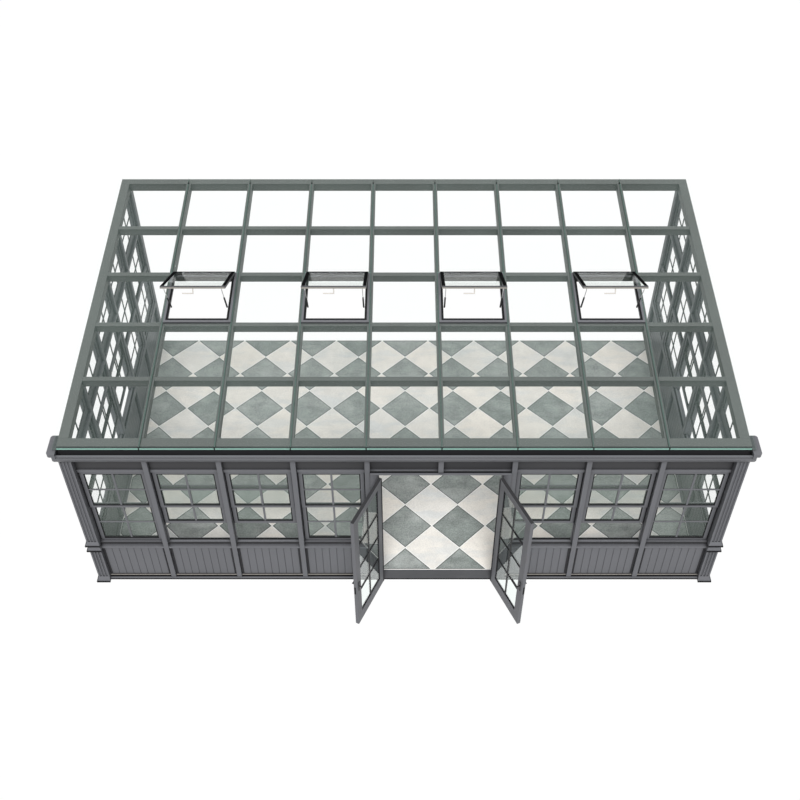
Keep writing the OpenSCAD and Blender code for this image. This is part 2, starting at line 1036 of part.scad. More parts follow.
// Gas stay at one side of a vent: a barrel on a stud in the curb, a rod and a stud under the open sash
module vent_stay() {
    x = (bay_pitch - glass_joint) / 2 - curb_w - stay_stand;
    run = vent_len * stay_foot_share;
    depth = curb_h / 2;
    along = [-cos(vent_open), -sin(vent_open)];
    down = [sin(vent_open), -cos(vent_open)];
    foot = run * along + depth * down;
    head = [vent_frame_w / 2 - vent_len, -stud_l];
    gap = head - foot;
    barrel_l = norm(gap) * barrel_share;
    translate([x, foot.x, foot.y]) {
        sphere(r = barrel_r);
        rotate([0, 90, 0])
            cylinder(h = stay_stand - bed, r = stud_r);
        rotate([atan2(gap.y, gap.x) - 90, 0, 0]) {
            cylinder(h = barrel_l, r = barrel_r);
            cylinder(h = norm(gap), r = rod_r);
        }
    }
    translate([x, head.x, head.y]) {
        sphere(r = ball_r);
        cylinder(h = stud_l - bed, r = stud_r);
    }
}

module vent_stays() {
    color(metal_col)
        for (b = vent_bays)
            on_vent(b)
                for (flip = [0, 1])
                    mirror([flip, 0, 0])
                        vent_stay();
}

// Crank handle under the bottom rail of a vent sash
module vent_handle() {
    translate([0, vent_low.y + vent_frame_w / 2, -crank_drop]) {
        cylinder(h = crank_drop - bed, r = crank_r);
        rotate([0, -90, 0])
            cylinder(h = crank_l, r = crank_r);
        sphere(r = crank_r);
    }
}

module vent_handles() {
    color(metal_col)
        for (b = vent_bays)
            on_vent(b)
                vent_handle();
}

floor_slab();
base_rails();
door_threshold();
corner_posts();
rear_posts();
front_mullions();
side_mullions();
kick_panels();
window_sills();
head_rails();
fascia_panels();
front_upper_sashes();
front_lower_sashes();
side_upper_sashes();
side_lower_sashes();
front_window_glass();
side_window_glass();
side_transom_frames();
side_transom_glass();
door_jambs();
door_stops();
door_head();
jamb_hinges();
eave_beam();
gutter();
gutter_pan();
gutter_end_caps();
rafters();
end_rafters();
purlins();
wall_plate();
roof_glass();
vent_curbs();
vent_sashes();
vent_glass();
vent_stays();
vent_handles();
left_leaf();
left_leaf_glass();
left_leaf_handles();
left_leaf_hinges();
right_leaf();
right_leaf_glass();
right_leaf_handles();
right_leaf_hinges();
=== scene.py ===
# Lean-to glass sunroom in dark grey aluminium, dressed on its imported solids.
# The sections follow the building as it is put up, from the floor to the roof vents.
import math

import bmesh
import bpy
from mathutils import Matrix, Vector


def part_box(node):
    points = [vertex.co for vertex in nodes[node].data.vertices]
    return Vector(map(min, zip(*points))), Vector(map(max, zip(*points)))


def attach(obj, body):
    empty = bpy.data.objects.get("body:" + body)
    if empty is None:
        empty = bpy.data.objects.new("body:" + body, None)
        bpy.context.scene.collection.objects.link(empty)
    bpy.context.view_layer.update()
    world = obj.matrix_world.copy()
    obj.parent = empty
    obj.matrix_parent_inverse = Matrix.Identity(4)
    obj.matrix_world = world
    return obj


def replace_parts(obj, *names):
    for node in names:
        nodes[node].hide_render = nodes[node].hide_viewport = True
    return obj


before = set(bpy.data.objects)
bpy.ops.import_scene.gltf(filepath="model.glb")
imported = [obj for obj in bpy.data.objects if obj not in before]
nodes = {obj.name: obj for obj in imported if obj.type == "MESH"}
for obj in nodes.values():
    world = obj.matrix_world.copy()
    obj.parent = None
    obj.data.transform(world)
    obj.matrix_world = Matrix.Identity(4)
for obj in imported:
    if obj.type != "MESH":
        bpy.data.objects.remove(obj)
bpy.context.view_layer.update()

# Floor: honed stone tiles, green-grey and cream in turn, laid corner to corner on a bed of screed.
# White grout lies a little below their faces, and a darker arris runs round each green-grey tile.
FLOOR_LOW, FLOOR_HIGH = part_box("floor_slab")
TILE = 0.5
TILE_ROWS = 31
TILE_TURN = math.radians(45)
DARK_TILE_CENTRE = (0.0148, -2.1862)
JOINT_HALF = 0.006
JOINT_DEPTH = 0.0012
TILE_ARRIS = 0.011
WHOLE_TILE_AREA = 0.02
# Broad diagonal streaks across the tiles are painted light and shade, mixed with each tile's random tone.
PAINTED_STREAK_TURN = math.radians(28)
PAINTED_STREAK_STRETCH = (0.7, 2.2, 1.0)
PAINTED_STREAK_SHARE = 0.5
STONE_BUMP = 0.06
GLOSS = 0.16
# Reach and samples of the painted shade that darkens recesses.
RECESS_SHADE_REACH = 0.07
RECESS_SHADE_SAMPLES = 6
MIX_A, MIX_B, MIX_RESULT = 6, 7, 2
DARK, PALE, GROUT, DARK_ARRIS = range(4)


def shader_group(name, inputs, outputs):
    group = bpy.data.node_groups.new(name, "ShaderNodeTree")
    for socket, kind, value in inputs:
        made = group.interface.new_socket(socket, in_out="INPUT", socket_type=kind)
        made.default_value = value
    for socket, kind in outputs:
        group.interface.new_socket(socket, in_out="OUTPUT", socket_type=kind)
    return group, group.nodes.new("NodeGroupInput"), group.nodes.new("NodeGroupOutput")


def noise(tree, vector, scale, detail, roughness):
    tex = tree.nodes.new("ShaderNodeTexNoise")
    tex.inputs["Scale"].default_value = scale
    tex.inputs["Detail"].default_value = detail
    tex.inputs["Roughness"].default_value = roughness
    tree.links.new(vector, tex.inputs["Vector"])
    return tex.outputs["Fac"]


def remap(tree, value, span, onto):
    node = tree.nodes.new("ShaderNodeMapRange")
    tree.links.new(value, node.inputs["Value"])
    node.inputs["From Min"].default_value, node.inputs["From Max"].default_value = span
    node.inputs["To Min"].default_value, node.inputs["To Max"].default_value = onto
    return node.outputs["Result"]


def feed(tree, value, socket):
    if isinstance(value, (int, float)):
        socket.default_value = value
    else:
        tree.links.new(value, socket)


def maths(tree, operation, a, b=0.0):
    node = tree.nodes.new("ShaderNodeMath")
    node.operation = operation
    feed(tree, a, node.inputs[0])
    feed(tree, b, node.inputs[1])
    return node.outputs["Value"]


def mottled(tree, main, others, amount):
    tone = maths(tree, "SUBTRACT", main, 0.5)
    for value, weight in others:
        centred = maths(tree, "SUBTRACT", value, 0.5)
        tone = maths(tree, "ADD", tone, maths(tree, "MULTIPLY", centred, weight))
    return maths(tree, "ADD", maths(tree, "MULTIPLY", tone, amount), 1.0)


def blended(tree, factor, first, second, mode="MIX"):
    mix = tree.nodes.new("ShaderNodeMix")
    mix.data_type = "RGBA"
    mix.blend_type = mode
    feed(tree, factor, mix.inputs["Factor"])
    tree.links.new(first, mix.inputs[MIX_A])
    tree.links.new(second, mix.inputs[MIX_B])
    return mix.outputs[MIX_RESULT]


def tinted(tree, colour, tone):
    return blended(tree, 1.0, colour, tone, mode="MULTIPLY")


def tile_lot(tree, place):
    grid = tree.nodes.new("ShaderNodeMapping")
    grid.vector_type = "TEXTURE"
    grid.inputs["Location"].default_value = (*DARK_TILE_CENTRE, 0)
    grid.inputs["Rotation"].default_value = (0, 0, TILE_TURN)
    grid.inputs["Scale"].default_value = (TILE, TILE, 1)
    tree.links.new(place, grid.inputs["Vector"])
    centred = tree.nodes.new("ShaderNodeVectorMath")
    centred.operation = "ADD"
    centred.inputs[1].default_value = (0.5, 0.5, 0.5)
    tree.links.new(grid.outputs["Vector"], centred.inputs[0])
    number = tree.nodes.new("ShaderNodeVectorMath")
    number.operation = "FLOOR"
    tree.links.new(centred.outputs["Vector"], number.inputs[0])
    lot = tree.nodes.new("ShaderNodeTexWhiteNoise")
    tree.links.new(number.outputs["Vector"], lot.inputs["Vector"])
    return lot.outputs["Value"]


def stone_group():
    group, given, out = shader_group(
        "honed_stone",
        [("Stone", "NodeSocketColor", (0.5, 0.5, 0.5, 1)),
         ("Tone And Painted Streak", "NodeSocketColor", (0.6, 0.6, 0.6, 1)),
         ("Mottle", "NodeSocketFloat", 0.2)],
        [("Color", "NodeSocketColor"), ("Roughness", "NodeSocketFloat"), ("Height", "NodeSocketFloat")],
    )
    place = group.nodes.new("ShaderNodeTexCoord").outputs["Object"]
    lay = group.nodes.new("ShaderNodeMapping")
    lay.inputs["Rotation"].default_value = (0, 0, PAINTED_STREAK_TURN)
    lay.inputs["Scale"].default_value = PAINTED_STREAK_STRETCH
    group.links.new(place, lay.inputs["Vector"])
    # Painted light and shade: diagonal streaks move the colour towards the second tone.
    bands = noise(group, lay.outputs["Vector"], scale=1.6, detail=5.0, roughness=0.6)
    streak = remap(group, bands, span=(0.49, 0.6), onto=(0.0, 1.0))
    lot = maths(group, "MULTIPLY", tile_lot(group, place), 1.0 - PAINTED_STREAK_SHARE)
    tone_and_light_patch = maths(group, "ADD", lot, maths(group, "MULTIPLY", streak, PAINTED_STREAK_SHARE))
    colour = blended(group, tone_and_light_patch, given.outputs["Stone"], given.outputs["Tone And Painted Streak"])
    cloud = noise(group, place, scale=5.5, detail=5.0, roughness=0.6)
    speck = noise(group, place, scale=240.0, detail=2.0, roughness=0.7)
    grain = noise(group, place, scale=60.0, detail=4.0, roughness=0.6)
    tone = mottled(group, cloud, ((grain, 1.3), (speck, 0.6)), given.outputs["Mottle"])
    group.links.new(tinted(group, colour, tone), out.inputs["Color"])
    group.links.new(remap(group, grain, span=(0.3, 0.7), onto=(0.3, 0.46)), out.inputs["Roughness"])
    group.links.new(speck, out.inputs["Height"])
    return group


STONE = stone_group()


def surface(name, group, settings, roughness=None, bump=0.0, depth=0.001, gloss=GLOSS, recess_shade=0.0):
    made = bpy.data.materials.new(name)
    made.use_nodes = True
    tree = made.node_tree
    shader = tree.nodes["Principled BSDF"]
    effect = tree.nodes.new("ShaderNodeGroup")
    effect.node_tree = group
    for socket, value in settings.items():
        effect.inputs[socket].default_value = value
    colour = effect.outputs["Color"]
    # Painted shade: an ambient occlusion mask darkens the colour in corners, creases and recesses.
    if recess_shade:
        corner = tree.nodes.new("ShaderNodeAmbientOcclusion")
        corner.samples = RECESS_SHADE_SAMPLES
        corner.inputs["Distance"].default_value = RECESS_SHADE_REACH
        shade = remap(tree, corner.outputs["AO"], span=(0.35, 0.9), onto=(1.0 - recess_shade, 1.0))
        colour = tinted(tree, colour, shade)
    tree.links.new(colour, shader.inputs["Base Color"])
    shader.inputs["Specular IOR Level"].default_value = gloss
    if roughness is None:
        tree.links.new(effect.outputs["Roughness"], shader.inputs["Roughness"])
    else:
        shader.inputs["Roughness"].default_value = roughness
    if bump:
        relief = tree.nodes.new("ShaderNodeBump")
        relief.inputs["Strength"].default_value = bump
        relief.inputs["Distance"].default_value = depth
        tree.links.new(effect.outputs["Height"], relief.inputs["Height"])
        tree.links.new(relief.outputs["Normal"], shader.inputs["Normal"])
    return made


def stone(name, base, tone_and_painted_streak, mottle, roughness=None, bump=0.0):
    settings = {"Stone": (*base, 1), "Tone And Painted Streak": (*tone_and_painted_streak, 1), "Mottle": mottle}
    return surface(name, STONE, settings, roughness=roughness, bump=bump)


def place_piece(bm, name, materials, body):
    mesh = bpy.data.meshes.new(name)
    bm.to_mesh(mesh)
    bm.free()
    for material in materials:
        mesh.materials.append(material)
    piece = bpy.data.objects.new(name, mesh)
    bpy.context.scene.collection.objects.link(piece)
    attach(piece, body)
    return piece


# Each stone's second colour is both its random tile tone and the colour of its painted light and shade
# streaks.
tile_materials = [
    stone("green_grey_tile", (0.265, 0.297, 0.28), (0.42, 0.442, 0.428), mottle=0.95, bump=STONE_BUMP),
    stone("cream_tile", (0.98, 0.928, 0.85), (0.79, 0.798, 0.782), mottle=0.3, bump=STONE_BUMP),
    stone("white_grout", (0.98, 0.97, 0.94), (0.94, 0.94, 0.92), mottle=0.15, roughness=0.8),
    stone("green_grey_arris", (0.085, 0.1, 0.093), (0.12, 0.135, 0.128), mottle=0.6),
]

bm = bmesh.new()
bmesh.ops.create_grid(bm, x_segments=TILE_ROWS, y_segments=TILE_ROWS, size=TILE_ROWS * TILE / 2)
for face in bm.faces:
    centre = face.calc_center_median() / TILE
    face.material_index = PALE if (round(centre.x) + round(centre.y)) % 2 else DARK
bmesh.ops.rotate(bm, verts=bm.verts, cent=(0, 0, 0), matrix=Matrix.Rotation(TILE_TURN, 3, "Z"))
bmesh.ops.translate(bm, verts=bm.verts, vec=(*DARK_TILE_CENTRE, FLOOR_HIGH.z - JOINT_DEPTH))
floor_edges = (
    (FLOOR_LOW, (-1, 0, 0)),
    (FLOOR_LOW, (0, -1, 0)),
    (FLOOR_HIGH, (1, 0, 0)),
    (FLOOR_HIGH, (0, 1, 0)),
)
for corner, normal in floor_edges:
    whole_floor = bm.verts[:] + bm.edges[:] + bm.faces[:]
    bmesh.ops.bisect_plane(bm, geom=whole_floor, plane_co=corner, plane_no=normal, clear_outer=True)
tiles = bm.faces[:]
joints = bmesh.ops.inset_individual(bm, faces=tiles, thickness=JOINT_HALF, use_even_offset=True)
for face in joints["faces"]:
    face.material_index = GROUT
tile_verts = list({v for f in tiles for v in f.verts})
bmesh.ops.translate(bm, verts=tile_verts, vec=(0, 0, JOINT_DEPTH))
whole = [f for f in tiles if f.material_index == DARK and f.calc_area() > WHOLE_TILE_AREA]
arrises = bmesh.ops.inset_individual(bm, faces=whole, thickness=TILE_ARRIS, use_even_offset=True)
for face in arrises["faces"]:
    face.material_index = DARK_ARRIS
skirt = bmesh.ops.extrude_edge_only(bm, edges=[e for e in bm.edges if e.is_boundary])["geom"]
for vert in (g for g in skirt if isinstance(g, bmesh.types.BMVert)):
    vert.co.z = FLOOR_LOW.z
for face in (g for g in skirt if isinstance(g, bmesh.types.BMFace)):
    face.material_index = GROUT
bmesh.ops.contextual_create(bm, geom=[e for e in bm.edges if e.is_boundary], mat_nr=GROUT)
bmesh.ops.recalc_face_normals(bm, faces=bm.faces[:])
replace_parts(place_piece(bm, "floor_tiles", tile_materials, "frame"), "floor_slab")

# Wall frame: base rails, posts, mullions, sills and heads, extruded in aluminium and powder coated.
# The coat is a dark grey satin with a fine orange-peel skin, and every arris is slightly rounded.
FRAME_GREY = (0.176, 0.179, 0.193)
PEEL_BUMP, PEEL_DEPTH = 0.08, 0.0006
ARRIS = 0.003
POST_ARRIS, THRESHOLD_ARRIS, BASE_ARRIS = 0.0015, 0.001, 0.0005
ARRIS_STEPS = 2
ARRIS_ANGLE = math.radians(40)
WELD_GAP = 0.00005


def powder_group():
    group, given, out = shader_group(
        "powder_coat",
        [("Paint", "NodeSocketColor", (0.1, 0.1, 0.1, 1)),
         ("Unevenness", "NodeSocketFloat", 0.1),
         ("Painted Top Light", "NodeSocketFloat", 0.0)],
        [("Color", "NodeSocketColor"), ("Roughness", "NodeSocketFloat"), ("Height", "NodeSocketFloat")],
    )
    coords = group.nodes.new("ShaderNodeTexCoord")
    facing = group.nodes.new("ShaderNodeSeparateXYZ")
    group.links.new(coords.outputs["Normal"], facing.inputs["Vector"])
    # Painted light: faces that turn upwards are made lighter by the amount given for the top.
    upward = remap(group, facing.outputs["Z"], span=(0.5, 0.9), onto=(0.0, 1.0))
    drift = noise(group, coords.outputs["Object"], scale=1.3, detail=3.0, roughness=0.55)
    grain = noise(group, coords.outputs["Object"], scale=420.0, detail=2.0, roughness=0.6)
    tone = mottled(group, drift, ((grain, 0.5),), given.outputs["Unevenness"])
    top_light_tone = maths(group, "MULTIPLY", upward, given.outputs["Painted Top Light"])
    tone = maths(group, "ADD", tone, top_light_tone)
    group.links.new(tinted(group, given.outputs["Paint"], tone), out.inputs["Color"])
    group.links.new(remap(group, drift, span=(0.3, 0.7), onto=(0.4, 0.52)), out.inputs["Roughness"])
    group.links.new(grain, out.inputs["Height"])
    return group


POWDER = powder_group()


def coat(name, paint, unevenness=0.22, recess_shade=0.0, top_light=0.0):
    settings = {"Paint": (*paint, 1), "Unevenness": unevenness, "Painted Top Light": top_light}
    return surface(name, POWDER, settings, bump=PEEL_BUMP, depth=PEEL_DEPTH, recess_shade=recess_shade)


def plain(name, paint, unevenness, roughness, gloss=GLOSS):
    settings = {"Paint": (*paint, 1), "Unevenness": unevenness}
    return surface(name, POWDER, settings, roughness=roughness, gloss=gloss)


def finish_solid(name, material, arris=ARRIS):
    solid = nodes[name]
    solid.data.materials.clear()
    solid.data.materials.append(material)
    if arris:
        weld = solid.modifiers.new("joined_faces", "WELD")
        weld.merge_threshold = WELD_GAP
        edge = solid.modifiers.new("rounded_arris", "BEVEL")
        edge.width = arris
        edge.segments = ARRIS_STEPS
        edge.profile = 0.5
        edge.limit_method = "ANGLE"
        edge.angle_limit = ARRIS_ANGLE
        edge.use_clamp_overlap = True


# Painted shade darkens the frame, base and threshold coats in their corners and recesses.
frame_paint = coat("dark_grey_coat", FRAME_GREY, recess_shade=0.7)
base_paint = coat("base_rail_coat", FRAME_GREY, recess_shade=0.2)
# The threshold is coated a darker, more uneven grey, with painted shade in its recesses.
threshold_coat = coat("dark_threshold_coat", (0.1, 0.101, 0.107), unevenness=0.5, recess_shade=0.5)
finish_solid("base_rails", base_paint, arris=BASE_ARRIS)
for name in ("rear_posts", "front_mullions", "side_mullions", "window_sills", "head_rails"):
    finish_solid(name, frame_paint)
finish_solid("door_threshold", threshold_coat, arris=THRESHOLD_ARRIS)
finish_solid("corner_posts", frame_paint, arris=POST_ARRIS)

# Kick panels: tongued boards with V joints, set upright in front of a backing sheet in every window bay.
# They are coated with the frame, and the same boards line the inside of the room.
Y_FRONT = -2.285
SIDE_X = 3.865
SIDE_Y = (-2.17, 2.185)
SIDE_BAYS = 5
BAY_PITCH = 0.84
BAY_CLEAR = 0.78
HALF_MULLION = 0.03
POST_IN = 3.75
WINDOW_BAYS = (0, 1, 2, 3, 6, 7, 8)
PURLIN_PITCH = 0.867
BASE_TOP = 0.035
KICK_SHEET = (0.045, 0.063)
KICK_RAIL_TOP = 0.057
KICK_TOP = 0.66
BOARD = 0.092
BOARD_T = 0.009
BOARD_V = 0.0045
BOARD_GAP = 0.0004
LONG_SHARE = 0.9
REVEAL = 0.028
HAIR = 0.0002
FIT = 0.0005


def side_bay(j):
    low = SIDE_Y[0] if j == 0 else (j - SIDE_BAYS / 2) * PURLIN_PITCH + HALF_MULLION
    high = SIDE_Y[1] if j == SIDE_BAYS - 1 else (j + 1 - SIDE_BAYS / 2) * PURLIN_PITCH - HALF_MULLION
    return low, high


def front_bay(i):
    low = i * BAY_PITCH - POST_IN
    return low, low + BAY_CLEAR


def wall_bays():
    found = [("front", i, *front_bay(i)) for i in WINDOW_BAYS]
    for wall in ("left", "right"):
        found += [(wall, j, *side_bay(j)) for j in range(SIDE_BAYS)]
    return found


def box_between(bm, low, high):
    place = Matrix.Translation((low + high) / 2) @ Matrix.Diagonal((*(high - low), 1.0))
    return bmesh.ops.create_cube(bm, size=1.0, matrix=place)["verts"]


def wall_box(bm, wall, a0, a1, d0, d1, z0, z1):
    if wall == "front":
        low, high = Vector((a0, Y_FRONT + d0, z0)), Vector((a1, Y_FRONT + d1, z1))
    elif wall == "left":
        low, high = Vector((-SIDE_X + d0, a0, z0)), Vector((-SIDE_X + d1, a1, z1))
    else:
        low, high = Vector((SIDE_X - d1, a0, z0)), Vector((SIDE_X - d0, a1, z1))
    return box_between(bm, low, high)


def ease_long_edges(bm, verts, offset, segments=1):
    edges = {e for v in verts for e in v.link_edges}
    longest = max(e.calc_length() for e in edges)
    long_edges = [e for e in edges if e.calc_length() > LONG_SHARE * longest]
    bmesh.ops.bevel(
        bm, geom=long_edges, offset=offset, segments=segments, profile=0.5, affect="EDGES", material=-1
    )


bm = bmesh.new()
for wall, _, a0, a1 in wall_bays():
    start, run = a0 + REVEAL, a1 - a0 - 2 * REVEAL
    count = round(run / BOARD)
    pitch = run / count
    for k in range(count):
        left, right = start + k * pitch + BOARD_GAP, start + (k + 1) * pitch - BOARD_GAP
        for d0, d1, foot in (
            (KICK_SHEET[0] - BOARD_T, KICK_SHEET[0] - HAIR, KICK_RAIL_TOP + FIT),
            (KICK_SHEET[1] + HAIR, KICK_SHEET[1] + BOARD_T, BASE_TOP + FIT),
        ):
            board = wall_box(bm, wall, left, right, d0, d1, foot, KICK_TOP - FIT)
            ease_long_edges(bm, board, BOARD_V)
place_piece(bm, "kick_boards", [frame_paint], "frame")
finish_solid("kick_panels", frame_paint)

# Painted shade: black strips along the base rails, under the kick panels and over the door stand for
# shadow, and so do grey strips round the boards and on the ledge under each sill. Black strips round the
# mouldings of the corner posts are painted shade and a dark seal. A bead holds the boards down, its pale
# tan a painted highlight.
KICK_RAIL_SET = 0.028
BASE_TOE, BASE_PROUD = 0.018, 0.014
SILL_SET, LEDGE_Z, SILL_Z = 0.052, 0.69, 0.738
BEDDING = 0.0003
STRIP_T = 0.002
STRIP_END = 0.004
RAIL_STRIP_W = 0.017
BOARD_SHADE_D = (-0.0012, -0.0001)
BOARD_SHADE_TOP = 0.022
EDGE_GAP = 0.001
BEAD_D, BEAD_Z = (-0.003, 0.006), (-0.0035, 0.003)
BEAD_EASE = 0.001
SHADE_STRIP_T, SHADE_STRIP_DROP = 0.007, 0.003
TOE_GAP = 0.0004
POST_FACE = 2.31
POST_SIDE = 3.89
MOULDINGS = ((0.0, 0.022, 0.024, 0.0), (0.656, 0.021, 0.02, 0.012), (0.757, 0.021, 0.02, 0.012))
HEAD_STRIP = Vector((-0.3895, -2.2828, 2.1133)), Vector((1.2295, -2.2522, 2.118))

black_rubber_and_shade = plain("black_rubber_and_painted_shade", (0.014, 0.014, 0.015), unevenness=0.3, roughness=0.75, gloss=0.1)
grey_painted_shade = plain("grey_painted_shade", (0.05, 0.05, 0.053), unevenness=0.3, roughness=0.7, gloss=0.1)
pale_highlight_bead = plain("pale_highlight_bead", (0.34, 0.32, 0.29), unevenness=0.15, roughness=0.4)


def span_on(side, near, far):
    return sorted((side * near, side * far))


strips, grey_shade_strips, beads = bmesh.new(), bmesh.new(), bmesh.new()
for wall, _, a0, a1 in wall_bays():
    rail_foot, rail_top = BASE_TOP + BEDDING, KICK_RAIL_TOP - STRIP_END
    # Painted shade: black strips on the kick rail's face and on the base rail's top in front of it.
    wall_box(strips, wall, a0, a1, KICK_RAIL_SET - STRIP_T, KICK_RAIL_SET - HAIR, rail_foot, rail_top)
    flat = (KICK_RAIL_SET - RAIL_STRIP_W, KICK_RAIL_SET - STRIP_T)
    wall_box(strips, wall, a0, a1, *flat, rail_foot, BASE_TOP + STRIP_T)
    # Painted shade: grey strips on the upstand above each ledge, at the boards' foot and at each side of
    # the boards.
    ledge = (SILL_SET - STRIP_T, SILL_SET - HAIR)
    wall_box(grey_shade_strips, wall, a0, a1, *ledge, LEDGE_Z + BEDDING, SILL_Z - STRIP_END)
    shade_tape = [KICK_SHEET[0] - BOARD_T + d for d in BOARD_SHADE_D]
    shade_tape_foot, shade_tape_top = KICK_RAIL_TOP + STRIP_END, KICK_RAIL_TOP + BOARD_SHADE_TOP
    wall_box(grey_shade_strips, wall, a0 + REVEAL, a1 - REVEAL, *shade_tape, shade_tape_foot, shade_tape_top)
    reveal = (KICK_SHEET[0] - STRIP_T, KICK_SHEET[0] - HAIR)
    for side in (a0 + FIT, a1 - REVEAL + EDGE_GAP):
        end = side + REVEAL - FIT - EDGE_GAP
        wall_box(grey_shade_strips, wall, side, end, *reveal, shade_tape_foot, KICK_TOP - EDGE_GAP)
    # The bead's pale tan is a painted highlight.
    bead_d, bead_z = [KICK_RAIL_SET + d for d in BEAD_D], [KICK_RAIL_TOP + z for z in BEAD_Z]
    bead = wall_box(beads, wall, a0 + FIT, a1 - FIT, *bead_d, *bead_z)
    ease_long_edges(beads, bead, BEAD_EASE)
for wall, a0, a1 in (("front", -POST_IN, POST_IN), ("left", *SIDE_Y), ("right", *SIDE_Y)):
    # Painted shade: black strips on the base rail's front and on its toe.
    base_shade = (-BASE_PROUD - SHADE_STRIP_T, -BASE_PROUD - HAIR)
    wall_box(strips, wall, a0, a1, *base_shade, BASE_TOE, BASE_TOP - SHADE_STRIP_DROP)
    wall_box(strips, wall, a0, a1, -STRIP_T, -HAIR, TOE_GAP, BASE_TOE - TOE_GAP)
# Black strips at the foot of each moulding: painted shade and a dark seal.
for foot, height, proud, inner in MOULDINGS:
    z0, z1 = foot + HAIR, foot + height - EDGE_GAP
    face, flank = -POST_FACE - proud, POST_SIDE + proud
    for side in (-1, 1):
        x0, x1 = span_on(side, POST_IN - inner, flank + SHADE_STRIP_T)
        box_between(strips, Vector((x0, face - SHADE_STRIP_T, z0)), Vector((x1, face - HAIR, z1)))
        x0, x1 = span_on(side, flank + HAIR, flank + SHADE_STRIP_T)
        box_between(strips, Vector((x0, face, z0)), Vector((x1, SIDE_Y[0], z1)))
# Painted shade: a black strip in the groove over the door.
box_between(strips, *HEAD_STRIP)
place_piece(strips, "painted_shade_strips", [black_rubber_and_shade], "frame")
place_piece(grey_shade_strips, "grey_shade_strips", [grey_painted_shade], "frame")
place_piece(beads, "kick_beads", [pale_highlight_bead], "frame")

# Fascia: flat sheets that close each bay between the window heads and the eave beam.
# They are coated a darker grey, darkened further as painted shade under the gutter and in their recesses,
# and sit deep behind the mullions.
finish_solid("fascia_panels", coat("fascia_shaded_coat", (0.065, 0.065, 0.069), recess_shade=0.5))

# Hung sash windows: an upper sash in front, a lower sash behind it that slides up, and glazing bars.
# Slim bars quarter each sealed unit and black rubber seals the glass. Black strips under the panes and
# beside the mullions are painted shade, and where a lower sash stands raised, its liners show and a black
# strip of painted shade lies on its sill.
RAISED = {"front": (1, 2, 6, 7), "left": (1, 2), "right": (1, 2)}
SASH_FACE = (0.06, 0.082)
SASH_T = 0.02
SASH_STILE = 0.056
UPPER_GLASS = (1.46, 2.04)
LOWER_GLASS = (0.788, 1.412)
SASH_RAISE = 0.337
PANE_T = 0.012
BAR_W = 0.025
BAR_DEPTH = (0.001, 0.012)
BAR_EASE, BAR_STEPS = 0.004, 2
SEAL_W, SEAL_T = 0.011, 0.0025
FOOT_SHADE, RAIL_SHADE, SIDE_SHADE = 0.02, 0.008, 0.013
SIDE_SHADE_RUN = 0.04
TAPE_T = 0.0015
SILL_SHADE = 0.008
LINER_W, LINER_EASE, LINER_GAP = 0.011, 0.002, 0.002
WINDOW_TINT = (0.55, 0.68, 0.6, 1)
RIM_FACING = 0.6
END_RIM_SHARE = 0.1


def glass_group():
    group, given, out = shader_group(
        "glazing",
        [("Face", "NodeSocketColor", (1, 1, 1, 1)),
         ("Edge", "NodeSocketColor", (0.3, 0.6, 0.5, 1)),
         ("Veil", "NodeSocketFloat", 0.05),
         ("Streak", "NodeSocketFloat", 0.2),
         ("Edge Veil", "NodeSocketFloat", 0.0),
         ("Flat Axis", "NodeSocketVector", (0, 0, 1)),
         ("Half Width", "NodeSocketFloat", 10.0)],
        [("Color", "NodeSocketColor"), ("Veil", "NodeSocketFloat"), ("Rim", "NodeSocketFloat")],
    )
    coords = group.nodes.new("ShaderNodeTexCoord")
    along = group.nodes.new("ShaderNodeVectorMath")
    along.operation = "DOT_PRODUCT"
    group.links.new(coords.outputs["Normal"], along.inputs[0])
    group.links.new(given.outputs["Flat Axis"], along.inputs[1])
    rim = maths(group, "LESS_THAN", maths(group, "ABSOLUTE", along.outputs["Value"]), RIM_FACING)
    normal = group.nodes.new("ShaderNodeSeparateXYZ")
    group.links.new(coords.outputs["Normal"], normal.inputs["Vector"])
    place = group.nodes.new("ShaderNodeSeparateXYZ")
    group.links.new(coords.outputs["Object"], place.inputs["Vector"])
    off_centre = maths(group, "ABSOLUTE", place.outputs["X"])
    inside = maths(group, "LESS_THAN", off_centre, given.outputs["Half Width"])
    unhidden = maths(group, "LESS_THAN", normal.outputs["Y"], RIM_FACING)
    lit_rim = maths(group, "MULTIPLY", rim, unhidden)
    lit_rim = maths(group, "MULTIPLY", lit_rim, maths(group, "MAXIMUM", inside, END_RIM_SHARE))
    colour = blended(group, lit_rim, given.outputs["Face"], given.outputs["Edge"])
    group.links.new(colour, out.inputs["Color"])
    film = noise(group, coords.outputs["Object"], scale=0.9, detail=3.0, roughness=0.5)
    streak = remap(group, film, span=(0.35, 0.65), onto=(-1.0, 1.0))
    streak = maths(group, "ADD", maths(group, "MULTIPLY", streak, given.outputs["Streak"]), 1.0)
    veil = maths(group, "MULTIPLY", given.outputs["Veil"], streak)
    veil = maths(group, "MULTIPLY", veil, maths(group, "SUBTRACT", 1.0, rim))
    group.links.new(veil, out.inputs["Veil"])
    group.links.new(maths(group, "MULTIPLY", lit_rim, given.outputs["Edge Veil"]), out.inputs["Rim"])
    return group


GLAZING = glass_group()


